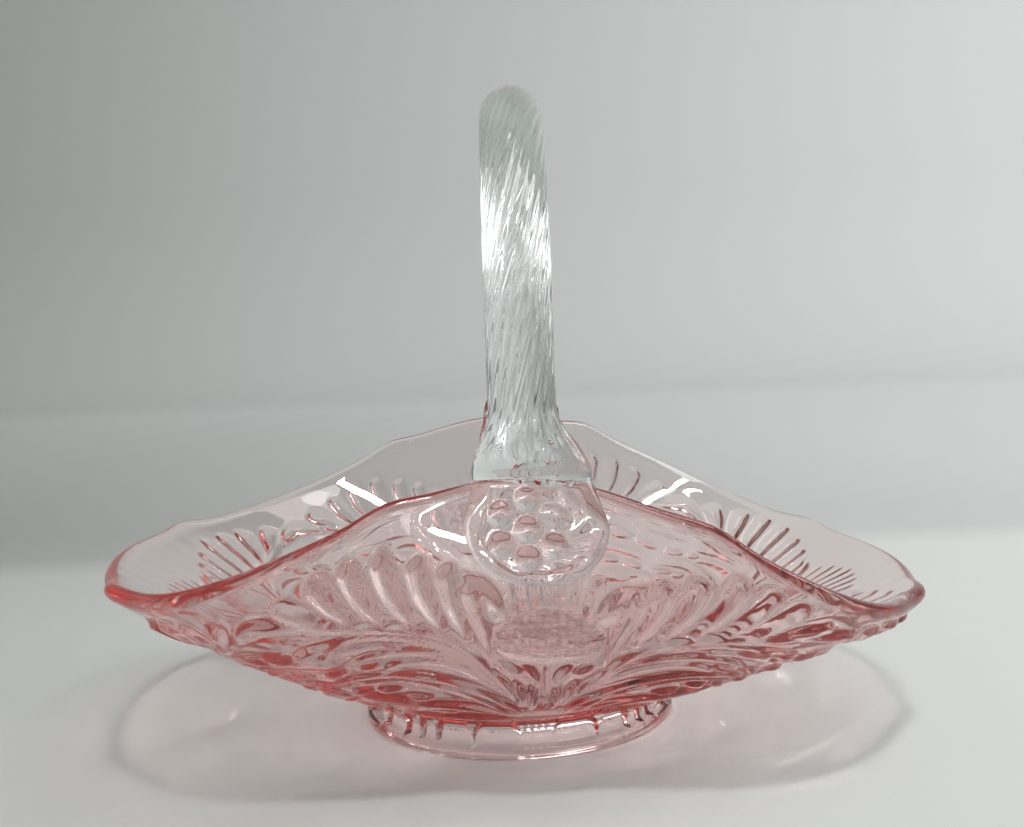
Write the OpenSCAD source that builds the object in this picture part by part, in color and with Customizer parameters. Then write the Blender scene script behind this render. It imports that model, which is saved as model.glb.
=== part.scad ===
// Pressed glass basket: a footed bowl bent up at two sides, with an applied twisted handle.
// Millimetres. The table is z = 0, the long direction is X and the handle stands in the YZ plane.

/* [Parts] */
// Which part to draw

/* [Foot] */
// Outer radius of the foot on the table
foot_radius = 41.5; // [38:0.5:46]
// Width of the ring that stands on the table
foot_ring = 4; // [3:0.5:6]
// Depth of the hollow under the bowl
foot_hollow = 6.5; // [4:0.5:7.5]
// Thickness of the foot's side at the top of the hollow
foot_side = 3.5; // [3:0.5:5]
// Height of the plain band at the bottom of the foot
foot_band = 2.5; // [1.5:0.5:4]
// Number of shallow flutes round the foot
flute_count = 28; // [12:2:36]
// Radius of the cut that makes one flute
flute_radius = 6; // [4:0.5:9]
// Depth of one flute
flute_depth = 0.6; // [0.3:0.1:1]

/* [Wall] */
// Radius at which the wall leaves the foot, in the middle of the glass
join_radius = 38; // [36:0.5:40]
// Height at which the wall leaves the foot, in the middle of the glass
join_height = 11; // [10:0.5:14]
// Length of the wall from the foot to the rim, along the glass
wall_reach = 75.5; // [65:0.5:85]
// How much shorter the wall is at the two long ends
tip_shortening = 2.6; // [0:0.1:5]
// How much longer the wall is at the left end than halfway, and shorter at the right end
tip_slant = 2.5; // [0:0.1:4]
// Thickness of the wall at the foot
wall_at_foot = 5.2; // [4:0.1:6]
// Thickness of the wall at the rim
wall_at_rim = 4; // [3:0.1:5]

/* [Bend] */
// Slope of the wall at the two long ends
lean_tip = 24.5; // [18:0.5:30]
// Slope of the line from the foot to the rim under the handle
lean_crest = 59.5; // [48:0.5:64]
// How closely the rise keeps to the handle
lean_power = 4.5; // [2:0.1:6]
// Half of the angle through which the wall turns upright under the handle
curl_crest = 32; // [16:1:36]
// Half of the angle through which the wall turns up at the two long ends
curl_tip = 6; // [0:0.5:10]
// How much the raised side stands up and the other hangs, in degrees of slope
tip_tilt = 4.5; // [0:0.1:6]
// Turn of the raised side from the left end toward the back
tilt_turn = 25; // [0:1:45]

/* [Rim] */
// Rise of the wide lobes over the four flowers
lobe_rise = 1.4; // [0:0.1:2.5]
// Number of small points round the rim
scallop_count = 8; // [4:4:12]
// Rise of one small point
scallop_rise = 2.1; // [0:0.1:3]
// Half width of one small point, in degrees
scallop_half = 4.5; // [3:0.5:7]
// Turn of the first small point from +X
scallop_turn = 27; // [0:1:44]

/* [Pressed pattern] */
// Turn of the first flower from +X
pattern_turn = 6; // [0:1:44]
// Height of the pressed pattern over the wall
relief = 1.2; // [0.4:0.1:1.6]
// Distance from the foot to the middle of a flower, along the wall
flower_reach = 37.5; // [30:0.5:42]
// Half width of a flower
flower_half = 13; // [9:0.5:16]
// Half height of a flower
flower_tall = 8; // [5:0.5:10]
// Distance from the foot to the start of the fronds
frond_start = 9; // [6:0.5:12]
// Rise of the upper frond from its start
upper_frond_rise = 47; // [38:0.5:50]
// Rise of the lower frond from its start
lower_frond_rise = 23; // [16:0.5:27]
// Half width of a frond
frond_half = 3; // [2:0.1:4]
// Length of the leaflets over the upper frond
leaflet_reach = 12; // [8:0.5:14]
// Half width of one leaflet
leaflet_half = 3; // [2:0.1:4]

/* [Handle] */
// Thickness of the handle at its top
handle_thick = 16; // [12:0.5:18]
// Thickness of the handle over the rim
handle_thin = 14; // [11:0.5:16]
// Rise of the handle's middle line over the rim
handle_rise = 84; // [65:1:105]
// Offset of the handle's near end from the middle, along X
near_offset = 4.5; // [-6:0.5:8]
// Offset of the handle's far end from the middle, along X
far_offset = 4; // [-6:0.5:8]
// Offset of the rod where it leaves its widened ends, along X
rod_offset = 3; // [-6:0.5:8]
// Offset of the handle's top from the middle, along X
top_offset = 3.5; // [-4:0.5:6]
// Number of ribs round the handle
rib_count = 20; // [12:2:24]
// Depth of the grooves between the ribs
rib_depth = 0.8; // [0.3:0.1:1]
// Turns of the ribs from one end of the handle to the other
rib_turns = 1.15; // [0:0.05:2]

/* [Handle ends] */
// Width of the round pad on the wall
pad_width = 28.5; // [26:0.5:32]
// Distance from the rim to the bottom of the pad, along the wall
pad_drop = 23; // [20:0.5:28]
// Thickness of the pad over the wall
pad_thick = 4.2; // [3:0.1:5]
// Height over the rim at which the handle starts to widen
flare_rise = 14; // [10:1:28]
// Width of the handle where it crosses the rim
flare_width = 25; // [19:0.5:26]
// Depth of the handle outside the middle of the rim
lap_outside = 6.5; // [5:0.5:8]
// Depth of the handle inside the middle of the rim
lap_inside = 3.2; // [3:0.2:7]
// Radius of the beads on the pad
bead_radius = 2.7; // [2:0.1:2.8]
// Distance from the middle bead to each of the other six
bead_ring = 6; // [5.7:0.1:7]
// Distance from the rim to the middle bead, along the wall
bead_drop = 10; // [9:0.5:12]
// Offset of the middle bead from the middle of the pad
bead_offset = -1.5; // [-2:0.1:2]

/* [Hidden] */
pink = [0.93, 0.60, 0.62, 0.75];
clear = [0.88, 0.92, 0.91, 0.75];
columns = 180;
outer_rows = 24;
inner_rows = 8;
rows_ratio = outer_rows / inner_rows;
buried = 2;
step = 360 / columns;
eps = 0.01;
curve_fn = 96;

first_slope = lean_tip - curl_tip;
foot_top = join_height - wall_at_foot / 2 * cos(first_slope);
foot_neck = join_radius + wall_at_foot / 2 * sin(first_slope);
foot_taper = atan((foot_radius - foot_neck) / foot_top);
hollow_edge = foot_radius - foot_hollow * tan(foot_taper) - foot_side;
floor_top = join_height + wall_at_foot / 2 * cos(first_slope);
floor_edge = join_radius - wall_at_foot / 2 * sin(first_slope);

// How far the wall at angle a has risen toward the handle, from 0 to 1
function rise(a) = pow(abs(sin(a)), lean_power);

// Slope of the straight line from foot to rim, and half of the wall's bend
function lean(a) = lean_tip + (lean_crest - lean_tip) * rise(a) - tip_tilt * cos(a + tilt_turn) * (1 - rise(a));
function curl(a) = curl_tip + (curl_crest - curl_tip) * rise(a);

// Distance in degrees from angle a to the nearest of n marks, the first of them at start
function from_mark(a, start, n) =
    let (pitch = 360 / n, d = (a - start + pitch / 2) / pitch)
    (d - floor(d)) * pitch - pitch / 2;

function reach(a) =
    wall_reach - (tip_shortening + tip_slant * cos(a)) * (1 - rise(a))
    + lobe_rise * cos(4 * (a - pattern_turn))
    + scallop_rise * exp(-pow(from_mark(a, scallop_turn, scallop_count) / scallop_half, 2));

function thickness(part) = wall_at_foot + (wall_at_rim - wall_at_foot) * min(max(part, 0), 1);

// Point at angle a, s along the wall and off its middle, with off counted outward
function wall_point(a, s, off) =
    let (half = curl(a) * s / reach(a),
         first = lean(a) - curl(a),
         chord = abs(half) < eps ? s : s * sin(half) / (half * PI / 180),
         slope = first + 2 * half,
         r = join_radius + chord * cos(first + half) + off * sin(slope),
         z = join_height + chord * sin(first + half) - off * cos(slope))
    [r * cos(a), r * sin(a), z];

// Pressed pattern, in u degrees from the axis of a flower and s along the wall
function bump(x) = x >= 1 ? 0 : 1 - x * x;
function fade(x, from, to) = min(max((x - from) / (to - from), 0), 1);
function mould_radius(s) = join_radius + 0.9 * s;
function across(u, s) = u * PI / 180 * mould_radius(s);

function flower(u, s) =
    bump(norm([across(u, s) / flower_half, (s - flower_reach) / flower_tall]));

function upper_frond(u) = frond_start + upper_frond_rise * sin(2 * u);
function lower_frond(u) = frond_start + lower_frond_rise * sin(2.4 * u);

function frond(u, s, line, climb) =
    let (slope = climb / mould_radius(s))
    bump(abs(s - line) / norm([1, slope]) / frond_half) * fade(s, frond_start - 6, frond_start);

function leaflet(u, s) =
    let (k = min(max(round((u - 14) / 6), 0), 5),
         mark = 14 + 6 * k,
         part = (s - upper_frond(mark) - 2) / leaflet_reach)
    part < 0 || part > 1 ? 0 :
    bump(abs(across(u - mark, s)) / leaflet_half) * min(1, 4 * part, 5 * (1 - part));

function corner_leaf(u, s) =
    0.8 * bump(norm([across(45 - u, s) / 12, (s - frond_start - 6) / 6]));

function small_leaf(u, s) =
    0.8 * bump(norm([across(u - 38, s) / 6, (s - (upper_frond(38) + lower_frond(38)) / 2) / 5]));

function stem(u, s) = bump(abs(across(u, s)) / 3) * fade(s, 3, 8) * (1 - fade(s, 24, 30));

function pattern(a, s) =
    let (u = abs(from_mark(a, pattern_turn, 4)))
    relief * max(flower(u, s),
                 frond(u, s, upper_frond(u), 2 * upper_frond_rise * cos(2 * u)),
                 frond(u, s, lower_frond(u), 2.4 * lower_frond_rise * cos(2.4 * u)),
                 leaflet(u, s), corner_leaf(u, s), small_leaf(u, s), stem(u, s));

// Rows of the wall: the outside from foot to rim, the top of the rim, and the inside back down
function column_angle(c) = pattern_turn + c * step;
function rim_round(a) = wall_at_rim / 2;
function row_reach(a, part) = -buried + (reach(a) - rim_round(a) + buried) * part;

function outer_point(a, i) =
    let (part = i / outer_rows, s = row_reach(a, part), edge = part > 0.98 ? 0.3 : 0)
    wall_point(a, s, thickness(part) / 2 - edge + (i == 0 ? 0 : pattern(a, s)));

function inner_point(a, j) =
    let (part = j / inner_rows, edge = part > 0.98 ? 0.3 : 0)
    wall_point(a, row_reach(a, part), edge - thickness(part) / 2);

function top_point(a) = wall_point(a, reach(a), 0);

// One closed solid of the wall between two columns, or all the way round
function even(from, to) = [for (c = [from : 2 : to]) c];

module wall(from, to, low = 0) {
    whole = to - from == columns;
    last = whole ? to - 1 : to;
    fine = [for (c = [from : last]) c];
    coarse = even(from, whole ? to - 2 : to);
    nf = len(fine);
    nc = len(coarse);
    rows = outer_rows - low + 1;
    low_in = low / rows_ratio;
    rows_in = inner_rows - low_in + 1;
    points = concat(
        [for (i = [low : outer_rows], c = fine) outer_point(column_angle(c), i)],
        [for (c = fine) top_point(column_angle(c))],
        [for (j = [inner_rows : -1 : low_in], c = coarse) inner_point(column_angle(c), j)]);
    spans = whole ? nf : nf - 1;
    spans_in = whole ? nc : nc - 1;
    inner_start = (rows + 1) * nf;
    function out(i, c) = i * nf + c % nf;
    function in(j, c) = inner_start + j * nc + c % nc;
    outside = [for (i = [0 : rows - 1], c = [0 : spans - 1], half = [0, 1])
        half == 0 ? [out(i, c), out(i + 1, c + 1), out(i, c + 1)]
                  : [out(i, c), out(i + 1, c), out(i + 1, c + 1)]];
    over = [for (k = [0 : spans_in - 1], part = [0 : 2])
        part == 0 ? [out(rows, 2 * k), in(0, k), out(rows, 2 * k + 1)] :
        part == 1 ? [out(rows, 2 * k + 1), in(0, k), in(0, k + 1)]
                  : [out(rows, 2 * k + 1), in(0, k + 1), out(rows, 2 * k + 2)]];
    inside = [for (j = [0 : rows_in - 2], k = [0 : spans_in - 1], half = [0, 1])
        half == 0 ? [in(j, k), in(j + 1, k), in(j + 1, k + 1)]
                  : [in(j, k), in(j + 1, k + 1), in(j, k + 1)]];
    under = [for (k = [0 : spans_in - 1], part = [0 : 2])
        part == 0 ? [out(0, 2 * k), out(0, 2 * k + 1), in(rows_in - 1, k)] :
        part == 1 ? [out(0, 2 * k + 1), in(rows_in - 1, k + 1), in(rows_in - 1, k)]
                  : [out(0, 2 * k + 1), out(0, 2 * k + 2), in(rows_in - 1, k + 1)]];
    function cap(c, k) = concat(
        [for (j = [0 : rows_in - 2], m = [0 : rows_ratio - 1])
            [in(rows_in - 1 - j, k), out(j * rows_ratio + m, c), out(j * rows_ratio + m + 1, c)]],
        [for (j = [0 : rows_in - 2])
            [in(rows_in - 1 - j, k), out((j + 1) * rows_ratio, c), in(rows_in - 2 - j, k)]],
        [[in(0, k), out(rows - 1, c), out(rows, c)]]);
    ends = whole ? [] : concat(
        [for (f = cap(0, 0)) [f[0], f[2], f[1]]],
        cap(nf - 1, nc - 1));
    polyhedron(points = points, faces = concat(outside, over, inside, under, ends), convexity = 10);
}

module foot() {
    difference() {
        rotate_extrude($fn = curve_fn)
            polygon([[0, foot_hollow], [hollow_edge, foot_hollow],
                     [foot_radius - foot_ring, 0.8], [foot_radius - foot_ring + 0.8, 0],
                     [foot_radius - 0.8, 0], [foot_radius, 0.8],
                     [foot_neck, foot_top], [floor_edge, floor_top], [0, floor_top]]);
        for (k = [0 : flute_count - 1])
            rotate([0, 0, (k + 0.5) * 360 / flute_count])
                translate([foot_radius, 0, 0])
                    rotate([0, -foot_taper, 0])
                        translate([flute_radius - flute_depth, 0, foot_band])
                            cylinder(r = flute_radius, h = foot_top, $fn = 48);
    }
}

module bowl() {
    color(pink) {
        wall(0, columns);
        foot();
    }
}

// Handle: one swept solid, from the bottom of the near pad over the arch to the bottom of the far pad
pad_seat = 1.5;
round_rows = 6;
pad_rows = round_rows + 4;
arch_rows = 16;
sides = 4 * rib_count;
arch_side = -top_side_y();
function top_side_y() = -norm([wall_point(90, reach(90), 0)[0], wall_point(90, reach(90), 0)[1]]);
rim_height = wall_point(90, reach(90), 0)[2];

// Angle of the wall under an end of the handle, side -1 near and 1 far
function end_offset(side) = side < 0 ? near_offset : far_offset;
function end_angle(side) = side < 0
    ? 270 + asin(end_offset(side) / arch_side)
    : 90 - asin(end_offset(side) / arch_side);

function smooth(x) = x * x * (3 - 2 * x);
function mix(a, b, x) = a + (b - a) * x;

// Stations of one half of the handle: middle point, outward direction, half width,
// depth outward, depth inward, groove, bend along the round wall
function pad_station(side, i) =
    let (a = end_angle(side),
         half = pad_width / 2,
         widest = pad_drop - half,
         low = 90 * (1 - i / round_rows),
         part = (i - round_rows) / (pad_rows - round_rows),
         drop = i < round_rows ? widest + half * sin(low) : widest * (1 - part),
         wide = i < round_rows ? max(half * cos(low), 0.6)
                               : mix(half, flare_width / 2, smooth(part)),
         edge = i < round_rows ? max(sqrt(cos(low)), 0.2) : 1,
         seated = smooth(min(drop / 7, 1)),
         off = mix(0, wall_at_rim / 2, seated),
         p = wall_point(a, reach(a) - drop, off),
         q = wall_point(a, reach(a) - drop, off + 1))
    [p, q - p, wide, mix(lap_outside, pad_thick, seated) * edge, mix(lap_inside, pad_seat, seated) * edge,
     0, seated / (2 * arch_side)];

function arch_station(side, i) =
    let (t = 90 * i / arch_rows,
         along = i / arch_rows,
         rise_here = handle_rise * sin(t),
         a = end_angle(side),
         y = side * mix(abs(wall_point(a, reach(a), 0)[1]), arch_side, along) * cos(t),
         widen = 1 - smooth(min(rise_here / flare_rise, 1)),
         x = mix(mix(rod_offset, top_offset, sin(t)), end_offset(side), widen),
         thick = mix(handle_thin, handle_thick, along) / 2)
    [[x, y, mix(wall_point(a, reach(a), 0)[2], rim_height, along) + rise_here],
     [0, side * cos(t) / arch_side, sin(t) / handle_rise] / norm([cos(t) / arch_side, sin(t) / handle_rise]),
     mix(thick, flare_width / 2, widen), mix(thick, lap_outside, widen), mix(thick, lap_inside, widen),
     rib_depth * (1 - pow(widen, 2)), 0];

stations = concat(
    [for (i = [0 : pad_rows - 1]) pad_station(-1, i)],
    [for (i = [0 : arch_rows]) arch_station(-1, i)],
    [for (i = [arch_rows - 1 : -1 : 0]) arch_station(1, i)],
    [for (i = [pad_rows - 1 : -1 : 0]) pad_station(1, i)]);

function twist_at(i) =
    let (n = len(stations) - 1 - 2 * pad_rows)
    -360 * rib_turns * min(max((i - pad_rows) / n, 0), 1);

// The outward direction keeps to one side of the path, so the far half only turns over the top
function ring(i) =
    let (st = stations[i])
    [for (k = [0 : sides - 1])
        let (g = st[5] * (1 - cos(rib_count * k * 360 / sides)) / 2,
             b = k * 360 / sides + twist_at(i),
             depth = sin(b) > 0 ? st[3] : st[4],
             x = (st[2] - g) * cos(b))
        st[0] + [x, 0, 0] + st[1] * ((depth - g) * sin(b) - st[6] * x * x)];

module sweep() {
    n = len(stations);
    points = [for (i = [0 : n - 1]) each ring(i)];
    skin = [for (i = [0 : n - 2], k = [0 : sides - 1], half = [0, 1])
        let (a = i * sides + k, b = i * sides + (k + 1) % sides)
        half == 0 ? [a, b, b + sides] : [a, b + sides, a + sides]];
    first = [for (k = [sides - 1 : -1 : 0]) k];
    last = [for (k = [0 : sides - 1]) (n - 1) * sides + k];
    polyhedron(points = points, faces = concat(skin, [first, last]), convexity = 10);
}

module beads(side) {
    a = end_angle(side);
    s = reach(a) - bead_drop;
    turn = 180 / PI / arch_side;
    for (k = [0 : 6]) {
        r = k == 0 ? 0 : bead_ring;
        across = bead_offset + r * sin(60 * k);
        up = r * cos(60 * k);
        translate(wall_point(a + across * turn, s + up, wall_at_rim / 2 + pad_thick - bead_radius / 2))
            sphere(r = bead_radius, $fn = 32);
    }
}

module handle() {
    color(clear)
        difference() {
            union() {
                sweep();
                beads(-1);
                beads(1);
            }
            for (side = [-1, 1]) {
                middle = 2 * round((end_angle(side) - pattern_turn) / step / 2);
                wall(middle - 12, middle + 12, 12);
            }
        }
}

bowl();
handle();
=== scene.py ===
import math

import bmesh
import bpy
import numpy as np
from mathutils import Matrix, Quaternion, Vector
from mathutils.bvhtree import BVHTree


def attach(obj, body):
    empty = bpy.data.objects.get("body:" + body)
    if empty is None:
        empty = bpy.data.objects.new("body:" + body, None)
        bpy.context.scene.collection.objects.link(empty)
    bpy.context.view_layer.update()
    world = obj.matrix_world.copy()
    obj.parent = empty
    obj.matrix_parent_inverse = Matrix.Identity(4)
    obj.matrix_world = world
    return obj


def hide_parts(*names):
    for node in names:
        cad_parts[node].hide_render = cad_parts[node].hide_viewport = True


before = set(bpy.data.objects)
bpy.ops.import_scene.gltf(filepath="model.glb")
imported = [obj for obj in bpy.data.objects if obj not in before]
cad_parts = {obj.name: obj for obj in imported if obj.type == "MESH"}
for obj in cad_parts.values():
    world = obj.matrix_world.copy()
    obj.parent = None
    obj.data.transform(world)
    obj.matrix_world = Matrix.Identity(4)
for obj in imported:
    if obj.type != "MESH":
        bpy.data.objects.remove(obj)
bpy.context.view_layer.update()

mm = 0.001


# Shader maths: a socket that takes part in plain Python expressions
class Signal:
    def __init__(self, tree, socket=None):
        self.tree, self.socket = tree, socket

    def node(self, kind, settings=None, inputs=None, output=0):
        made = self.tree.nodes.new(kind)
        for name, value in (settings or {}).items():
            setattr(made, name, value)
        for name, value in (inputs or {}).items():
            if isinstance(value, Signal):
                self.tree.links.new(value.socket, made.inputs[name])
            else:
                made.inputs[name].default_value = value
        return Signal(self.tree, made.outputs[output])

    def math(self, operation, first, second=0.0):
        return self.node("ShaderNodeMath", {"operation": operation}, {0: first, 1: second})

    def __add__(self, other):
        return self.math("ADD", self, other)

    def __radd__(self, other):
        return self.math("ADD", other, self)

    def __sub__(self, other):
        return self.math("SUBTRACT", self, other)

    def __rsub__(self, other):
        return self.math("SUBTRACT", other, self)

    def __mul__(self, other):
        return self.math("MULTIPLY", self, other)

    def __rmul__(self, other):
        return self.math("MULTIPLY", other, self)

    def __gt__(self, other):
        return self.math("GREATER_THAN", self, other)

    def blend(self, low, high):  # two colours, mixed by this value
        mix = self.tree.nodes.new("ShaderNodeMix")
        mix.data_type = "RGBA"
        self.tree.links.new(self.socket, mix.inputs[0])
        for slot, value in ((6, low), (7, high)):
            if isinstance(value, Signal):
                self.tree.links.new(value.socket, mix.inputs[slot])
            else:
                mix.inputs[slot].default_value = (*value, 1)
        return Signal(self.tree, mix.outputs[2])


def newMaterial(name):
    material = bpy.data.materials.new(name)
    material.use_nodes = True
    material.node_tree.nodes.clear()
    return material, Signal(material.node_tree)


def closeMaterial(start, surface, volume=None):
    out = start.tree.nodes.new("ShaderNodeOutputMaterial")
    start.tree.links.new(surface.socket, out.inputs["Surface"])
    if volume:
        start.tree.links.new(volume.socket, out.inputs["Volume"])


def noise(start, place, scale, detail=2.0):
    return start.node("ShaderNodeTexNoise", {"noise_dimensions": "3D"},
                      {"Vector": place, "Scale": scale, "Detail": detail, "Roughness": 0.5})


# Small helpers for numbers
def sinDeg(angle):
    return np.sin(np.radians(angle))


def cosDeg(angle):
    return np.cos(np.radians(angle))


def smooth(x, start=0.0, end=1.0):
    x = np.clip((x - start) / (end - start), 0, 1)
    return x * x * (3 - 2 * x)


def mix(a, b, x):
    return a + (b - a) * x


def meshArray(mesh):
    points = np.zeros(len(mesh.vertices) * 3)
    mesh.vertices.foreach_get("co", points)
    return points.reshape(-1, 3)


def addValues(mesh, name, values):
    mesh.attributes.new(name, "FLOAT", "POINT").data.foreach_set("value", values.astype(np.float32))


def addObject(name, bm):
    mesh = bpy.data.meshes.new(name)
    bm.to_mesh(mesh)
    bm.free()
    piece = bpy.data.objects.new(name, mesh)
    bpy.context.scene.collection.objects.link(piece)
    return piece


# The law of the bent wall: every upright section is an arc, in millimetres and degrees
wall = {
    "joinRadius": 38.0, "joinHeight": 11.0,
    "reach": 75.5, "tipShortening": 2.6, "tipSlant": 2.5,
    "atFoot": 5.2, "atRim": 4.0,
    "leanTip": 24.5, "leanCrest": 59.5, "leanPower": 4.5,
    "curlTip": 6.0, "curlCrest": 32.0,
    "tipTilt": 4.5, "tiltTurn": 25.0,
    "lobeRise": 1.4, "scallopRise": 2.1, "scallopHalf": 4.5, "scallopTurn": 27.0,
    "patternTurn": 6.0,
}


def rise(angle):
    return np.abs(sinDeg(angle)) ** wall["leanPower"]


def lean(angle):
    tilt = wall["tipTilt"] * cosDeg(angle + wall["tiltTurn"]) * (1 - rise(angle))
    return mix(wall["leanTip"], wall["leanCrest"], rise(angle)) - tilt


def curl(angle):
    return mix(wall["curlTip"], wall["curlCrest"], rise(angle))


def fromMark(angle, first, count):  # degrees to the nearest of the marks
    pitch = 360 / count
    return (angle - first + pitch / 2) % pitch - pitch / 2


def reach(angle):
    shorter = (wall["tipShortening"] + wall["tipSlant"] * cosDeg(angle)) * (1 - rise(angle))
    lobes = wall["lobeRise"] * cosDeg(4 * (angle - wall["patternTurn"]))
    points = np.exp(-(fromMark(angle, wall["scallopTurn"], 8) / wall["scallopHalf"]) ** 2)
    return wall["reach"] - shorter + lobes + wall["scallopRise"] * points


def wallSection(angle, s, off):  # radius and height, s along the wall, off outward
    half = curl(angle) * s / reach(angle)
    first = lean(angle) - curl(angle)
    chord = s * np.sinc(half / 180)
    slope = first + 2 * half
    radius = wall["joinRadius"] + chord * cosDeg(first + half) + off * sinDeg(slope)
    height = wall["joinHeight"] + chord * sinDeg(first + half) - off * cosDeg(slope)
    return radius, height


def wallPoint(angle, s, off):
    radius, height = wallSection(angle, s, off)
    return np.stack([radius * cosDeg(angle), radius * sinDeg(angle), height], -1)


# The pressed pattern: strokes over half a flower's sector, as degrees from its axis and
# millimetres up the wall. It is mirrored and repeated four times.
pattern = {
    "rib": {"height": 1.0, "width": 1.85, "soft": 1.0, "lines": [
        [(7, 18), (9, 25), (12, 32), (16, 39), (20, 43.7), (25, 47.6), (30, 50), (35, 53),
         (39, 57), (41, 61)],
        [(9, 22), (12, 29.5), (16, 36.5), (20, 41.5), (25, 45.6), (30, 47.8), (36, 49),
         (42, 48.8), (45, 48.5)],
        [(12, 28), (17, 36), (22, 40.8), (27, 44), (32, 45.3), (38, 44.6), (45, 42.5)],
        [(5, 10), (10, 17.5), (15, 23.5), (20, 28.5), (25, 32), (30, 34), (35, 34.6),
         (40, 33.6), (45, 31)],
        [(6, 8), (11, 14.5), (16, 21), (20, 25.3), (25, 29.6), (30, 32), (36, 32.2),
         (42, 30.6), (45, 28.6)],
    ]},
    "blade": {"height": 1.3, "width": 2.6, "soft": 0.9, "lines": [
        [(13, 30), (19, 38.5), (26, 42), (32, 41.5), (37, 39.5)],
        [(10, 23), (15, 31.5), (20, 36.5), (25, 38), (30, 36.8), (34, 34.5)],
        [(9, 46), (11.5, 51), (14, 57)],
        [(8, 46), (10, 51), (12, 56)],
        [(7, 8), (14, 13), (22, 17), (31, 18.5), (39, 16)],
        [(9, 5), (17, 8), (26, 10), (36, 10), (43, 8)],
    ]},
    "leaf": {"height": 1.4, "width": 3.7, "soft": 0.7, "lines": [
        [(24, 12), (32, 20), (40, 23.5), (45, 24)],
        [(39, 46), (43, 46.4), (45, 46.2)],
        [(33, 48.2), (36, 46.8), (39, 46)],
    ]},
    "drop": {"height": 1.7, "width": 2.5, "soft": 0.75, "lines": [
        [(10.3, 33), (11.5, 44), (13, 53.5)],
        [(14.5, 41), (15.8, 50), (16.5, 58)],
        [(18.5, 45), (20, 54), (20.5, 61.5)],
        [(23, 48), (24.5, 57), (25, 64.5)],
        [(27.5, 50), (29, 58), (29.5, 65)],
        [(31.5, 51.5), (33, 58), (34, 64)],
        [(35, 53.5), (37.5, 58), (39.5, 62)],
        [(39.5, 55.5), (42.5, 58), (45, 60)],
    ]},
    "bract": {"height": 1.1, "width": 1.9, "soft": 0.9, "lines": [
        [(9.5, 33.5), (7, 30), (4, 29.5)],
        [(5, 33), (3, 28), (1.5, 24)],
        [(2.7, 12), (2.9, 19), (2.2, 26)],
        [(5.5, 14), (5.6, 20), (6.5, 26)],
    ]},
    "spike": {"height": 0.6, "width": 1.5, "soft": 1.0, "lines": [
        [(0, 47), (0, 60)], [(1.9, 47), (2.5, 59.5)], [(3.8, 46.4), (5, 58.5)],
        [(5.8, 45.4), (7.4, 56.5)],
        [(0, 10), (0, 33)],
    ]},
    "ring": {"height": 0.9, "width": 1.5, "soft": 1.0, "lines": [
        [(40.6, 45.2), (42.2, 43.8), (43.6, 45.4), (42.3, 47.2), (40.6, 45.2)],
    ]},
    "berry": {"height": 1.3, "width": 2.0, "soft": 0.9, "lines": [
        [(30.5, 27.6), (35.5, 28)], [(37.5, 28), (42.5, 27)],
        [(31, 38), (35, 38.3)], [(38.5, 37.4), (43, 36.6)],
        [(26, 22), (30.5, 24)], [(37, 20.5), (42, 20.6)],
    ]},
    "flower": {"reach": 40.0, "half": 13.2, "tall": 7.6, "height": 2.2, "roundness": 0.75,
               "dots": (39.5, 41.0), "fewDots": 0.3, "dotRim": (0.02, 0.12)},
}


def mouldWidth(s):  # millimetres across for one radian, before the wall was bent
    return wall["joinRadius"] + 0.9 * s


def curveThrough(points, steps=7):
    points = np.array([points[0], *points, points[-1]], float)
    t = np.linspace(0, 1, steps, endpoint=False)[:, None]
    spans = []
    for a, b, c, d in zip(points, points[1:], points[2:], points[3:]):
        spans.append(0.5 * (2 * b + (c - a) * t + (2 * a - 5 * b + 4 * c - d) * t ** 2
                            + (3 * b - a - 3 * c + d) * t ** 3))
    return np.concatenate([*spans, points[-1:]])


def strokeFade(kind, part):  # share of the full width at each part of the length
    if kind in ("blade", "leaf", "bract", "berry"):
        return np.sin(np.pi * np.clip(part, 0.03, 0.97)) ** (0.3 if kind == "berry" else 0.7)
    if kind == "drop":
        return 0.3 + 0.7 * smooth(part, 0.05, 0.75)
    ends = np.minimum(part, 1 - part) / 0.12
    return 0.3 + 0.7 * np.clip(ends, 0, 1) if kind != "ring" else np.ones_like(part)


def strokeHeight(across, s, kind, line, spec):
    path = curveThrough(line)
    path = np.stack([np.radians(path[:, 0]) * mouldWidth(path[:, 1]), path[:, 1]], -1)
    width = spec["width"]
    near = np.all([across > path[:, 0].min() - width, across < path[:, 0].max() + width,
                   s > path[:, 1].min() - width, s < path[:, 1].max() + width], axis=0)
    where = np.nonzero(near)[0]
    point = np.stack([across[where], s[where]], -1)
    lengths = np.linalg.norm(np.diff(path, axis=0), axis=1)
    begins = np.concatenate([[0], np.cumsum(lengths)])
    best, part = np.full(len(where), 1e9), np.zeros(len(where))
    for k, (a, b) in enumerate(zip(path, path[1:])):
        if lengths[k] < 1e-6:
            continue
        along = np.clip((point - a) @ (b - a) / lengths[k] ** 2, 0, 1)
        gap = np.linalg.norm(point - a - along[:, None] * (b - a), axis=1)
        closer = gap < best
        best[closer] = gap[closer]
        part[closer] = (begins[k] + along[closer] * lengths[k]) / begins[-1]
    fade = strokeFade(kind, part)
    wide = width * mix(0.35, 1, fade)
    return where, spec["height"] * fade ** 0.8 * smooth(1 - best / wide, 0, spec["soft"])


def patternHeight(angle, s):
    u = np.abs(fromMark(angle, wall["patternTurn"], 4))
    across = np.radians(u) * mouldWidth(s)
    height = np.zeros(len(s))
    for kind, spec in pattern.items():
        for line in spec.get("lines", []):
            where, found = strokeHeight(across, s, kind, line, spec)
            height[where] = np.maximum(height[where], found)
    head = pattern["flower"]
    sideways, upward = across / head["half"], (s - head["reach"]) / head["tall"]
    inside = np.clip(1 - sideways ** 2 - upward ** 2, 0, 1)
    return np.maximum(height, head["height"] * inside ** head["roundness"]), inside


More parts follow.
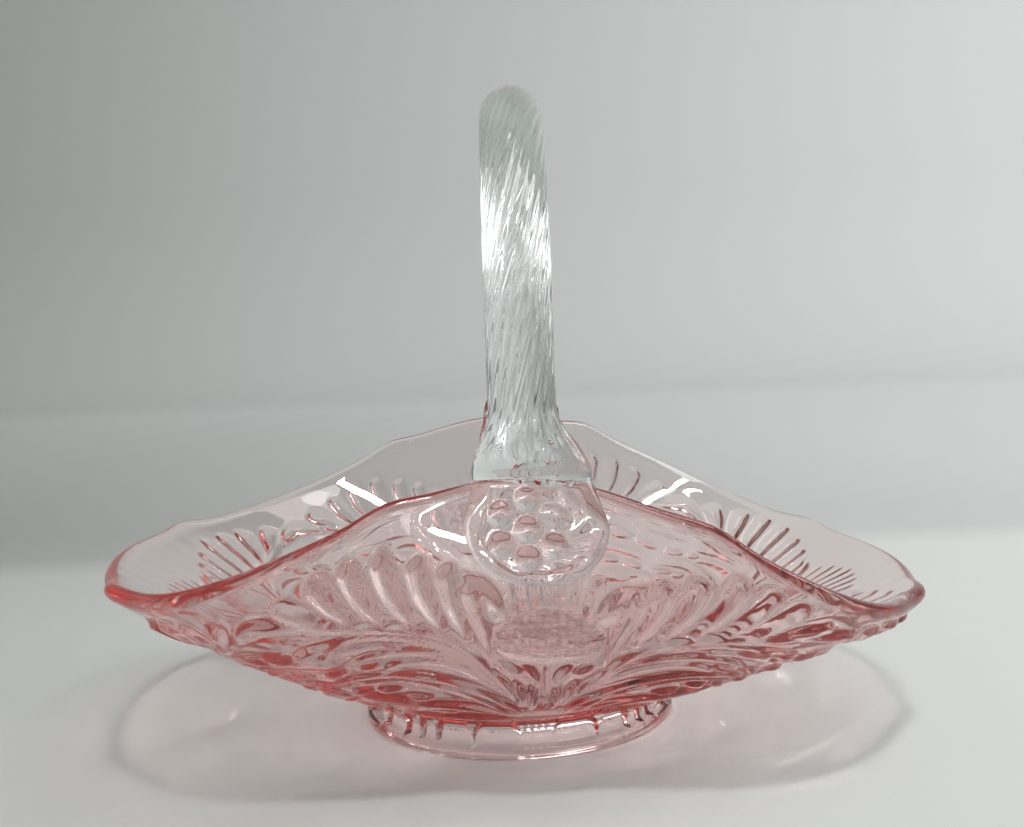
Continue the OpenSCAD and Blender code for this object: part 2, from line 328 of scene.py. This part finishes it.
# Bowl: a profile is spun in the shape of the mould, then bent by the law of the wall
bowl = {
    "columns": 656, "patternRows": 87, "plainRows": 5, "rimRows": 6, "innerRows": 22,
    "floorRows": 5, "patternEnd": 66.0,
    "rimDepth": 2.5, "floorFillet": 9.0, "floorHeight": 13.2,
    "hollow": 6.5, "hollowRadii": (0, 12, 24, 33.2),
    "ringLine": [  # round the ring that stands on the table, up to the top of its band
        (35.2, 6.1), (36.2, 4.4), (37.2, 2.0), (37.7, 0.7), (38.3, 0.1), (39, 0), (40.2, 0),
        (40.9, 0.1), (41.35, 0.4), (41.5, 0.9), (41.4, 1.6), (41.25, 2.3), (41.0, 2.65)],
    "footRadius": 41.5, "bandProud": 0.3, "sideBase": (41.0, 0.8), "sideTop": (39.9, 8.4),
    "sideSpan": (3.1, 8.0), "sideRows": 10,
    "panels": (0, 2.5, 5, 23.5, 37.5, 45),  # degrees from the axis of a flower
    "panelDepth": 1.8, "panelTop": 10.5, "ridgeTop": 4.6, "archSoft": 1.4,
    "ridgeSide": (0.25, 1.15), "sill": (2.5, 3.3), "fullPanel": 5,
    "wallFrom": 8.2, "floorFrom": 12, "panelFrom": (38.4, 2.6),
    "outerSkin": 1.9,  # a point farther out than this takes the pattern
    "ripple": 0.05, "patternFadeIn": (1, 7), "rippleFadeIn": (6, 20),  # millimetres up the wall
}


def bowlProfile():
    join, top = wall["joinRadius"], wall["joinHeight"]
    end = wall["reach"] - bowl["rimDepth"]
    foot = [(x, bowl["hollow"]) for x in bowl["hollowRadii"]] + bowl["ringLine"]
    (baseRadius, baseZ), (topRadius, topZ) = bowl["sideBase"], bowl["sideTop"]
    for z in np.linspace(*bowl["sideSpan"], bowl["sideRows"]):
        side = mix(baseRadius, topRadius, (z - baseZ) / (topZ - baseZ))
        foot.append((side - bowl["bandProud"] * (1 - smooth(z, 6, 8)), z))
    outer = [(join + s, top - mix(wall["atFoot"], wall["atRim"], s / wall["reach"]) / 2)
             for s in [*np.linspace(0, bowl["patternEnd"], bowl["patternRows"]),
                       *np.linspace(bowl["patternEnd"], end, bowl["plainRows"] + 1)[1:]]]
    rimRound = wall["atRim"] / 2
    rim = [(join + end + rimRound * math.sin(t), top - rimRound * math.cos(t))
           for t in np.linspace(0, math.pi, bowl["rimRows"] + 2)[1:-1]]
    inner = [(join + s, top + mix(wall["atFoot"], wall["atRim"], s / wall["reach"]) / 2)
             for s in np.linspace(end, 0, bowl["innerRows"])]
    floor = [(join * x, top + wall["atFoot"] / 2)
             for x in np.linspace(1, 0, bowl["floorRows"] + 1)[1:]]
    return foot + outer + rim + inner + floor


def turnVerts(bm, verts, degrees):
    turned = Matrix.Rotation(math.radians(degrees), 3, "Z")
    bmesh.ops.rotate(bm, cent=(0, 0, 0), matrix=turned, verts=verts)


def settleOrder(bm):  # spin lists its new faces in an order that varies from run to run
    bm.verts.index_update()
    count = len(bm.verts)

    def place(part):
        numbers = [v.index for v in part.verts]
        return min(numbers) * count + max(numbers)

    bm.edges.sort(key=place)
    bm.faces.sort(key=place)


def spunBowl():
    bm = bmesh.new()
    verts = [bm.verts.new((x * mm, 0, z * mm)) for x, z in bowlProfile()]
    edges = [bm.edges.new(pair) for pair in zip(verts, verts[1:])]
    bmesh.ops.spin(bm, geom=verts + edges, cent=(0, 0, 0), axis=(0, 0, 1), angle=math.tau / 4,
                   steps=bowl["columns"] // 4, use_merge=False)
    settleOrder(bm)
    quarter = bm.verts[:] + bm.edges[:] + bm.faces[:]
    for turn in (90, 180, 270):  # four quarters are much quicker than one full spin
        copy = bmesh.ops.duplicate(bm, geom=quarter)["geom"]
        turnVerts(bm, [v for v in copy if isinstance(v, bmesh.types.BMVert)], turn)
    turnVerts(bm, bm.verts[:], wall["patternTurn"])
    bmesh.ops.remove_doubles(bm, verts=bm.verts, dist=1e-6)
    bmesh.ops.recalc_face_normals(bm, faces=bm.faces)
    return bm


def footPanels(angle, z):  # how far the outer foot is scooped in, under an arched top
    u = np.abs(fromMark(angle, wall["patternTurn"], 4))
    deep = np.zeros(len(u))
    for low, high in zip(bowl["panels"], bowl["panels"][1:]):
        half = (high - low) / 2
        x = np.clip(np.abs(u - low - half) / half, 0, 1)
        fromEdge = (1 - x) * np.radians(half) * bowl["footRadius"]
        top = mix(bowl["panelTop"], bowl["ridgeTop"], x ** 3)
        scoop = (smooth(fromEdge, *bowl["ridgeSide"]) * smooth(top - z, 0, bowl["archSoft"])
                 * smooth(z, *bowl["sill"]))
        share = min(1, (high - low) / bowl["fullPanel"])  # narrow panels are shallow
        deep = np.maximum(deep, scoop * share * ((u >= low) & (u <= high)))
    return bowl["panelDepth"] * deep


def bendBowl(mesh):
    points = meshArray(mesh) / mm
    angle = np.degrees(np.arctan2(points[:, 1], points[:, 0]))
    radius, z = np.hypot(points[:, 0], points[:, 1]), points[:, 2]
    s, off = radius - wall["joinRadius"], wall["joinHeight"] - z
    onWall = (s > -1e-3) & (z > bowl["wallFrom"])
    onFloor = (s <= -1e-3) & (z > bowl["floorFrom"])
    panelRadius, panelZ = bowl["panelFrom"]
    onFoot = ~onWall & ~onFloor & (radius > panelRadius) & (z > panelZ)
    stipple = np.zeros(len(s))

    end, long = wall["reach"] - bowl["rimDepth"], reach(angle)
    part = np.clip((s - bowl["patternEnd"]) / (end - bowl["patternEnd"]), 0, 1)
    below = mix(np.minimum(s, bowl["patternEnd"]), long - bowl["rimDepth"], part)
    upWall = np.where(s < end, below, long - wall["reach"] + s)
    outside = onWall & (off > bowl["outerSkin"]) & (s < end + 1e-3)
    raised, inside = patternHeight(angle[outside], upWall[outside])
    off[outside] += raised * smooth(upWall[outside], *bowl["patternFadeIn"])
    head = pattern["flower"]
    dots = mix(head["fewDots"], 1, smooth(upWall[outside], *head["dots"]))
    stipple[outside] = smooth(inside, *head["dotRim"]) * dots
    waves = (sinDeg(angle * 5 + s * 4) * sinDeg(s * 11 + 40 * sinDeg(angle * 3))
             + 0.5 * sinDeg(angle * 13 - s * 9) + 0.12 * sinDeg(angle * 71 + 50 * sinDeg(s * 9)))
    off[onWall] += (bowl["ripple"] * waves * smooth(s, *bowl["rippleFadeIn"]))[onWall]

    first = lean(angle) - curl(angle)
    fillet = bowl["floorFillet"]
    newRadius, newZ = wallSection(angle, upWall, off)
    flatX = upWall * cosDeg(first)
    inner = onWall & (off < 0) & (flatX < fillet)
    lift = np.tan(np.radians(first)) * ((flatX + fillet) ** 2 / (4 * fillet) - flatX)
    newZ = np.where(inner, newZ + lift, newZ)

    edgeRadius, edgeZ = wallSection(angle, 0 * s, off)
    share = radius / wall["joinRadius"]
    floorRadius = edgeRadius * share
    short = np.maximum(floorRadius - edgeRadius + fillet, 0)
    floorZ = (mix(bowl["floorHeight"], edgeZ, share ** 2)
              + np.tan(np.radians(first)) * short ** 2 / (4 * fillet))
    newRadius = np.where(onFloor, floorRadius, newRadius)
    newZ = np.where(onFloor, floorZ, newZ)

    keep = ~onWall & ~onFloor
    newRadius = np.where(keep, radius - np.where(onFoot, footPanels(angle, z), 0), newRadius)
    newZ = np.where(keep, z, newZ)
    placed = np.stack([newRadius * cosDeg(angle), newRadius * sinDeg(angle), newZ], -1) * mm
    mesh.vertices.foreach_set("co", placed.ravel())
    addValues(mesh, "stipple", stipple)
    addValues(mesh, "fromRim", np.where(onWall, long - upWall, 99))


print("bowl: spin and bend")
bowlPiece = addObject("pressedBowl", spunBowl())
bendBowl(bowlPiece.data)
bowlPiece.data.shade_smooth()
print("bowl:", len(bowlPiece.data.polygons), "faces")


# Handle: a straight ribbed rod, then laid along its arch and spread over the two ends
handle = {
    "sides": 200, "padRows": 64, "archRows": 170,
    "thick": 16.0, "thin": 14.0, "rise": 83.8,
    "nearOffset": 4.5, "farOffset": 4.0, "rodOffset": 3.0, "topOffset": 3.5,
    "ribs": 20, "ribDepth": 0.5, "ribTurns": 1.15,
    "padWidth": 28.5, "padDrop": 23.0, "padThick": 4.0, "padSeat": 1.5, "seatRise": 7.0,
    "flareRise": 14.0, "flareWidth": 25.0, "flareOut": 6.2, "flareIn": 2.3,
    "fieldEdge": 11.0, "fieldDepth": 0.5, "fieldWaves": 0.12,
    "edgeWaves": ((0.45, 3, 1), (0.3, 7, 0), (0.2, 13, 2)),  # height, waves round, start
    "beads": 7, "beadBase": 2.6, "beadRise": 1.55, "beadRing": 6.0,
    "beadDrop": 10.0, "beadOffset": -1.5,
    "lowBeads": {1: 0.45, 2: 0.75},  # share of the full height
    "smearedBead": 1, "smear": (0.3, 1.25, 1.15),  # slant, longer and narrower by these
    "roundShare": 0.68,  # share of the pad's rows on its round part
    "bubble": (8.4, -78.6, 80.5, 0.75),  # place and radius
}
archSide = float(wallSection(90.0, reach(90.0), 0.0)[0])
rimHeight = float(wallSection(90.0, reach(90.0), 0.0)[1])


def endAngle(side):
    if side < 0:
        return 270 + math.degrees(math.asin(handle["nearOffset"] / archSide))
    return 90 - math.degrees(math.asin(handle["farOffset"] / archSide))


def padForms(x, drop):  # relief of the pressed end: field, beads, fold at the rim
    middle = handle["padDrop"] - handle["padWidth"] / 2
    fromMiddle = np.hypot(x, (drop - middle))
    way = np.arctan2(drop - middle, x)
    edge = handle["fieldEdge"]
    for swing, waves, start in handle["edgeWaves"]:
        edge = edge + swing * np.sin(waves * way + start)
    form = -handle["fieldDepth"] * smooth(edge - fromMiddle, 0, 0.9)
    nearEdge = smooth(edge - fromMiddle, -1.5, 0) * smooth(fromMiddle, 5, 9)
    form += handle["fieldWaves"] * np.sin(way * 9 + fromMiddle) * nearEdge
    base, high = handle["beadBase"], handle["beadRise"]
    for k in range(handle["beads"]):
        ring = handle["beadRing"] if k else 0  # the first bead is in the middle
        place = math.tau * k / (handle["beads"] - 1)
        cx = handle["beadOffset"] + ring * math.sin(place)
        cy = handle["beadDrop"] - ring * math.cos(place)
        squash = handle["lowBeads"].get(k, 1)
        dx, dy = x - cx, drop - cy
        if k == handle["smearedBead"]:
            slant, longer, narrower = handle["smear"]
            dx, dy = (dx - slant * dy) / longer, dy * narrower
        ball = (base ** 2 + high ** 2) / (2 * high)
        gap = np.hypot(dx, dy)
        cap = np.sqrt(np.maximum(ball ** 2 - gap ** 2, 0)) - (ball - high)
        form = np.where(gap < base, form + squash * np.maximum(cap, 0), form)
    return form


def handleShape(mesh):
    points = meshArray(mesh)
    pad, arch = handle["padRows"], handle["archRows"]
    row = np.round(points[:, 2])
    turn = np.degrees(np.arctan2(points[:, 1], points[:, 0]))
    rows = 2 * (pad + arch)
    middleOfCap = np.hypot(points[:, 0], points[:, 1]) < 0.5
    side = np.where(row <= pad + arch, -1, 1)
    step = np.where(side < 0, row, rows - row)  # from the bottom of a pad to the top of the arch

    near, far = endAngle(-1), endAngle(1)
    angle = np.where(side < 0, near, far)
    long = reach(angle)
    halfPad, thinHalf = handle["padWidth"] / 2, handle["thin"] / 2

    # the pad, from its bottom to the rim: first round, then straight
    widest = handle["padDrop"] - halfPad
    rounded = handle["roundShare"]
    part = np.clip(step / pad, 0, 1) / rounded
    drop = np.where(part < 1, widest + halfPad * cosDeg(90 * np.minimum(part, 1)),
                    widest * (1 - (part - 1) / (1 / rounded - 1)))
    padTurn = turn - np.where(side < 0, 0, 360 * handle["ribTurns"])
    low = np.clip((drop - widest) / halfPad, 0, 1)
    roundWide = halfPad * np.sqrt(np.maximum(1 - low ** 2, 0.0016))
    flareHalf = handle["flareWidth"] / 2
    wide = np.where(drop > widest, roundWide, mix(flareHalf, halfPad, smooth(drop / widest)))
    seated = smooth(drop / handle["seatRise"])
    edge = np.where(drop > widest, np.maximum(1 - low ** 5, 0.01) ** 0.4, 1)
    outward = mix(handle["flareOut"], handle["padThick"], seated) * edge
    inward = mix(handle["flareIn"], handle["padSeat"], smooth(drop / 3)) * np.maximum(edge, 0.3)
    rest = seated * wall["atRim"] / 2
    power = mix(2.0, 3.4, seated)
    across = np.abs(cosDeg(padTurn))
    rim = np.maximum(1 - across ** power, 0) ** (1 / power) * np.sign(sinDeg(padTurn))
    rim = np.where(middleOfCap, 0, rim)
    x = np.where(middleOfCap, 0, wide * cosDeg(padTurn))
    front = (rim > 0).astype(float)
    deep = np.where(rim > 0, outward, inward) * rim
    shown = smooth(drop, 0.5, 2.5) * smooth(rim, 0.5, 0.9)
    deep = deep + front * padForms(-x * side, drop) * shown  # the far pad faces the other way
    radiusHere = wallSection(angle, long - drop, rest)[0]
    hugging = wallPoint(angle + np.degrees(x / radiusHere) * -side, long - drop, rest + deep)
    base = wallPoint(angle, long - drop, rest)
    outDir = wallPoint(angle, long - drop, rest + 1) - base
    straight = base + outDir * deep[:, None] + np.stack([x, 0 * x, 0 * x], -1)
    padPoint = mix(straight, hugging, seated[:, None])

    # the rod, from the rim to the top
    along = np.clip((step - pad) / arch, 0, 1)
    t = 90 * along
    riseHere = handle["rise"] * sinDeg(t)
    rimPoint = wallPoint(angle, long, 0 * angle)
    widen = 1 - smooth(riseHere / handle["flareRise"])
    offset = np.where(side < 0, handle["nearOffset"], handle["farOffset"])
    centreX = mix(mix(handle["rodOffset"], handle["topOffset"], sinDeg(t)), offset, widen)
    centre = np.stack([centreX, side * mix(np.abs(rimPoint[:, 1]), archSide, along) * cosDeg(t),
                       mix(rimPoint[:, 2], rimHeight, along) + riseHere], -1)
    outDir = np.stack([0 * t, side * cosDeg(t) / archSide, sinDeg(t) / handle["rise"]], -1)
    outDir /= np.linalg.norm(outDir, axis=1)[:, None]
    half = mix(thinHalf, handle["thick"] / 2, along)
    fromNear = np.clip((row - pad) / (2 * arch), 0, 1)
    twist = -360 * handle["ribTurns"] * fromNear + 2.5 * sinDeg(900 * fromNear)
    phase = turn + 1.3 * sinDeg(3 * turn) + 0.9 * sinDeg(7 * turn + 50)
    groove = (1 - np.abs(sinDeg(handle["ribs"] * phase / 2)) ** 1.2) * handle["ribDepth"]
    groove *= (0.8 + 0.2 * sinDeg(5 * turn + 700 * fromNear)) * (1 - smooth(widen, 0.5, 1.0))
    rodX = (mix(half, flareHalf, widen) - groove) * cosDeg(turn + twist)
    rodOut = sinDeg(turn + twist)
    spread = np.where(rodOut > 0, handle["flareOut"], handle["flareIn"])
    rodOut *= mix(half, spread, widen) - groove
    archPoint = centre + outDir * rodOut[:, None] + np.stack([rodX, 0 * rodX, 0 * rodX], -1)

    placed = np.where((step <= pad)[:, None], padPoint, archPoint)
    mesh.vertices.foreach_set("co", (placed * mm).ravel())


def rodMesh():
    bm = bmesh.new()
    rows = 2 * (handle["padRows"] + handle["archRows"])
    bmesh.ops.create_cone(bm, cap_ends=True, segments=handle["sides"], radius1=1, radius2=1,
                          depth=rows)
    upright = [e for e in bm.edges if abs(e.verts[0].co.z - e.verts[1].co.z) > 1]
    bmesh.ops.subdivide_edges(bm, edges=upright, cuts=rows - 1, use_grid_fill=True)
    bmesh.ops.poke(bm, faces=[f for f in bm.faces if len(f.verts) > 4])
    bmesh.ops.translate(bm, vec=(0, 0, rows / 2), verts=bm.verts)
    return bm


def addBubble(mesh):  # a small closed bubble of air, its faces turned to the air inside
    x, y, z, radius = handle["bubble"]
    bm = bmesh.new()
    bm.from_mesh(mesh)
    made = bmesh.ops.create_icosphere(bm, subdivisions=3, radius=radius * mm,
                                      matrix=Matrix.Translation(Vector((x, y, z)) * mm)
                                      @ Matrix.Diagonal((1.1, 0.9, 0.75, 1)))
    faces = {f for v in made["verts"] for f in v.link_faces}
    bmesh.ops.reverse_faces(bm, faces=list(faces))
    bm.to_mesh(mesh)
    bm.free()


print("handle: lay the rod along its arch")
handlePiece = addObject("twistedHandle", rodMesh())
handleShape(handlePiece.data)
bm = bmesh.new()
bm.from_mesh(handlePiece.data)
bmesh.ops.recalc_face_normals(bm, faces=bm.faces)
bm.to_mesh(handlePiece.data)
addBubble(handlePiece.data)
handlePiece.data.shade_smooth()
print("handle:", len(handlePiece.data.polygons), "faces")


# Where one glass lies inside the other, the two are fused and show no surface
def markFused(piece, other, reachOut):
    tree = BVHTree.FromObject(other, bpy.context.evaluated_depsgraph_get())
    corners = np.array(other.bound_box)
    depth = np.full(len(piece.data.vertices), -5.0, np.float32)
    points = meshArray(piece.data)
    close = np.all((points > corners.min(0) - mm) & (points < corners.max(0) + mm), axis=1)
    for k in np.nonzero(close)[0]:
        place, normal, face, gap = tree.find_nearest(Vector(points[k]), reachOut)
        if place is not None:
            below = (Vector(points[k]) - place).dot(normal) < 0
            depth[k] = (gap if below else -gap) / mm
    addValues(piece.data, "fused", depth)


bpy.context.view_layer.update()
print("fusing")
markFused(bowlPiece, handlePiece, 0.006)
markFused(handlePiece, bowlPiece, 0.006)


# Glass
bowlGlass = {
    "tintLow": (0.985, 0.97, 0.97), "tintHigh": (1.0, 0.99, 0.99), "ior": 1.51, "rough": 0.0,
    "soak": (0.80, 0.175, 0.14), "soakDensity": 30.0,
    "stippleRise": 0.5, "stippleScale": 620.0, "stippleRough": 0.12,
    # painted shade: the stipple's groove colour darkens the glass in the grooves between the dots
    "stippleGrooveShade": (0.6, 0.46, 0.46), "stippleShadeSpan": (0.3, 0.6), "stippleRandom": 0.5,
    "raggedScale": 1400.0, "trapped": 1.2,
}
handleGlass = {
    "tintLow": (0.96, 0.972, 0.967), "tintHigh": (0.976, 0.984, 0.981), "ior": 1.51, "rough": 0.0,
    "soak": (0.6, 0.85, 0.78), "soakDensity": 3.0,
    "stippleRise": 0.0, "trapped": 0.0,
}


def glassMaterial(name, look):
    material, start = newMaterial(name)
    place = start.node("ShaderNodeTexCoord", output="Object")
    tint = noise(start, place, 45.0, 0.0).blend(look["tintLow"], look["tintHigh"])
    if look["stippleRise"]:
        mask = start.node("ShaderNodeAttribute", {"attribute_name": "stipple"}, output="Fac")
        cells = start.node("ShaderNodeTexVoronoi", {"feature": "F1"},
                           {"Vector": place, "Scale": look["stippleScale"],
                            "Randomness": look["stippleRandom"]})
        # painted shade: the glass colour is darkened in the grooves between the stipple dots, where
        # the cells meet
        dotGrooveShade = start.node("ShaderNodeMapRange", {},
                             {"Value": cells, "From Min": look["stippleShadeSpan"][0],
                              "From Max": look["stippleShadeSpan"][1]})
        tint = (mask * dotGrooveShade).blend(tint, look["stippleGrooveShade"])
    surface = start.node("ShaderNodeBsdfPrincipled", {}, {
        "Base Color": tint, "Roughness": look["rough"], "IOR": look["ior"],
        "Transmission Weight": 1.0})
    if look["stippleRise"]:
        height = mask * (1 - cells) * look["stippleRise"]
        bump = start.node("ShaderNodeBump", {}, {"Strength": 1.0, "Distance": mm, "Height": height})
        sockets = surface.socket.node.inputs
        start.tree.links.new(bump.socket, sockets["Normal"])
        start.tree.links.new((mask * look["stippleRough"]).socket, sockets["Roughness"])
    clear = start.node("ShaderNodeBsdfTransparent")
    fused = start.node("ShaderNodeAttribute", {"attribute_name": "fused"}, output="Fac")
    if look["trapped"]:  # air trapped along the rim leaves a thin jagged line
        fromRim = start.node("ShaderNodeAttribute", {"attribute_name": "fromRim"}, output="Fac")
        ragged = (noise(start, place, look["raggedScale"], 0.0) * 2 - 0.5) * look["trapped"]
        fused = fused.math("MINIMUM", fused, fromRim - ragged)
    both = start.node("ShaderNodeMixShader", {}, {0: fused > 0.0, 1: surface, 2: clear})
    soak = start.node("ShaderNodeVolumeAbsorption", {}, {
        "Color": (*look["soak"], 1), "Density": look["soakDensity"]})
    closeMaterial(start, both, soak)
    return material


bowlPiece.data.materials.append(glassMaterial("pinkPressedGlass", bowlGlass))
handlePiece.data.materials.append(glassMaterial("clearDrawnGlass", handleGlass))
for piece, node in ((bowlPiece, "bowl"), (handlePiece, "handle")):
    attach(piece, "root")
    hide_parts(node)


# Stage: a pale table that turns up into a soft grey backdrop. Its colour holds painted light:
# painted shade makes table, far floor and backdrop darker towards the left, and a painted shadow
# darkens the floor beyond the table's end.
stage = {
    "halfWidth": 2.4, "front": -2.0, "back": 1.3, "turn": 0.3, "backHeight": 2.2,
    "tableEnd": 0.215, "tableSoft": 0.02, "farSpan": (0.3, 1.1),
    # painted shade: each left colour is darker than its right one, as if the light came from the
    # right
    "tableShadedLeft": (0.44, 0.45, 0.435), "tableLitRight": (0.62, 0.635, 0.62), "tableShadeSpan": (-0.3, 0.3),
    # painted shadow: the far colours make the floor beyond the table's end darker than table and
    # backdrop
    "farShadowLeft": (0.34, 0.345, 0.33), "farShadowRight": (0.52, 0.535, 0.53),
    "backShadedLeft": (0.65, 0.66, 0.635), "backLitRight": (0.70, 0.715, 0.71), "backShadeSpan": (-0.8, -0.3),
    "cloud": (6.0, 3.0, 0.16), "fibre": (60.0, 4.0, 0.08),  # scale, detail, strength
    "rough": 0.75,
}


def sweepStage():
    bm = bmesh.new()
    line = [(stage["front"], 0.0), (stage["back"], 0.0)]
    for k in range(1, 9):
        t = math.radians(90 * k / 8)
        line.append((stage["back"] + stage["turn"] * math.sin(t),
                     stage["turn"] * (1 - math.cos(t))))
    line.append((stage["back"] + stage["turn"], stage["backHeight"]))
    verts = [bm.verts.new((-stage["halfWidth"], y, z)) for y, z in line]
    edges = [bm.edges.new(pair) for pair in zip(verts, verts[1:])]
    moved = bmesh.ops.extrude_edge_only(bm, edges=edges)["geom"]
    bmesh.ops.translate(bm, vec=(2 * stage["halfWidth"], 0, 0),
                        verts=[v for v in moved if isinstance(v, bmesh.types.BMVert)])
    bmesh.ops.recalc_face_normals(bm, faces=bm.faces)
    return bm


def stageMaterial():
    material, start = newMaterial("paleStage")
    place = start.node("ShaderNodeTexCoord", output="Object")
    across = start.node("ShaderNodeSeparateXYZ", {}, {"Vector": place}, output="X")
    away = start.node("ShaderNodeSeparateXYZ", {}, {"Vector": place}, output="Y")

    def ramp(value, low, high):
        return start.node("ShaderNodeMapRange", {},
                          {"Value": value, "From Min": low, "From Max": high})

    def unevenness(scale, detail, strength):
        return (noise(start, place, scale, detail) - 0.5) * strength

    cloud, fibre = unevenness(*stage["cloud"]), unevenness(*stage["fibre"])
    end, soft = stage["tableEnd"], stage["tableSoft"]
    up = ramp(away, end - soft, end + soft)
    # painted shade: table, far floor and backdrop are darker towards the left
    sideways = ramp(across, *stage["tableShadeSpan"])
    table = (sideways + fibre).blend(stage["tableShadedLeft"], stage["tableLitRight"])
    # painted shadow: the floor beyond the table's end is darker than table and backdrop
    behind = (sideways + cloud).blend(stage["farShadowLeft"], stage["farShadowRight"])
    backdrop = ramp(across, *stage["backShadeSpan"]) + cloud
    backdrop = backdrop.blend(stage["backShadedLeft"], stage["backLitRight"])
    beyond = ramp(away, *stage["farSpan"]).blend(behind, backdrop)
    surface = start.node("ShaderNodeBsdfPrincipled", {}, {
        "Base Color": up.blend(table, beyond), "Roughness": stage["rough"]})
    closeMaterial(start, surface)
    return material


print("stage, lights and camera")
stagePiece = addObject("stage", sweepStage())
stagePiece.data.shade_smooth()
stagePiece.data.materials.append(stageMaterial())

lights = {
    "overhead": {"place": (0.45, -0.15, 1.1), "size": (0.7, 0.5), "power": 6.0,
                 "aim": (0, 0, 0.02)},
    "rightWall": {"place": (1.4, 0.3, 0.9), "size": (1.0, 1.0), "power": 14.0,
                  "aim": (0.6, 1.4, 0.6)},
    "ceilingStrip": {"place": (0.07, -0.38, 0.98), "size": (0.14, 0.05), "power": 3.2,
                     "aim": (0, 0, 0.05), "turn": 8},
}
for name, spec in lights.items():
    data = bpy.data.lights.new(name, "AREA")
    data.shape = "RECTANGLE"
    data.size, data.size_y = spec["size"]
    data.energy = spec["power"]
    lamp = bpy.data.objects.new(name, data)
    lamp.location = spec["place"]
    toward = Vector(spec["aim"]) - Vector(spec["place"])
    turned = Quaternion((0, 0, 1), math.radians(spec.get("turn", 0)))
    lamp.rotation_euler = (toward.to_track_quat("-Z", "Y") @ turned).to_euler()
    bpy.context.scene.collection.objects.link(lamp)

roomLight = {  # darker behind the camera and low down
    "behindSpan": (-0.97, -0.75), "heightSpan": (0.05, 0.5),
    "behind": (0.08, 0.08, 0.085), "low": (0.16, 0.165, 0.16), "high": (0.36, 0.37, 0.36),
}
sky = bpy.data.worlds.new("softRoom")
sky.use_nodes = True
room = Signal(sky.node_tree)
toward = room.node("ShaderNodeTexCoord", output="Generated")


def softRamp(axis, span):  # 0 to 1 along one axis of the direction
    value = room.node("ShaderNodeSeparateXYZ", {}, {"Vector": toward}, output=axis)
    return room.node("ShaderNodeMapRange", {"interpolation_type": "SMOOTHSTEP"},
                     {"Value": value, "From Min": span[0], "From Max": span[1]})


upper = softRamp("Z", roomLight["heightSpan"]).blend(roomLight["low"], roomLight["high"])
colour = softRamp("Y", roomLight["behindSpan"]).blend(roomLight["behind"], upper)
sky.node_tree.links.new(colour.socket, sky.node_tree.nodes["Background"].inputs["Color"])
bpy.context.scene.world = sky

camera = {"place": (0.001, -0.320, 0.107), "pitch": 4.8, "roll": -2.23, "lens": 42.01,
          "sensor": 36, "nearest": 0.01}
data = bpy.data.cameras.new("camera")
data.lens, data.sensor_width = camera["lens"], camera["sensor"]
data.clip_start = camera["nearest"]
eye = bpy.data.objects.new("camera", data)
eye.matrix_world = (Matrix.Translation(camera["place"])
                    @ Matrix.Rotation(math.radians(90 - camera["pitch"]), 4, "X")
                    @ Matrix.Rotation(math.radians(camera["roll"]), 4, "Z"))
bpy.context.scene.collection.objects.link(eye)
bpy.context.scene.camera = eye
bpy.context.scene.view_settings.view_transform = "Standard"
paths = {  # long paths, or the glass turns grey where light is reflected inside it
    "max_bounces": 24, "glossy_bounces": 20, "transmission_bounces": 20, "diffuse_bounces": 2,
    "blur_glossy": 0.0, "sample_clamp_indirect": 0.0,
}
for name, value in paths.items():
    setattr(bpy.context.scene.cycles, name, value)

bpy.context.view_layer.update()
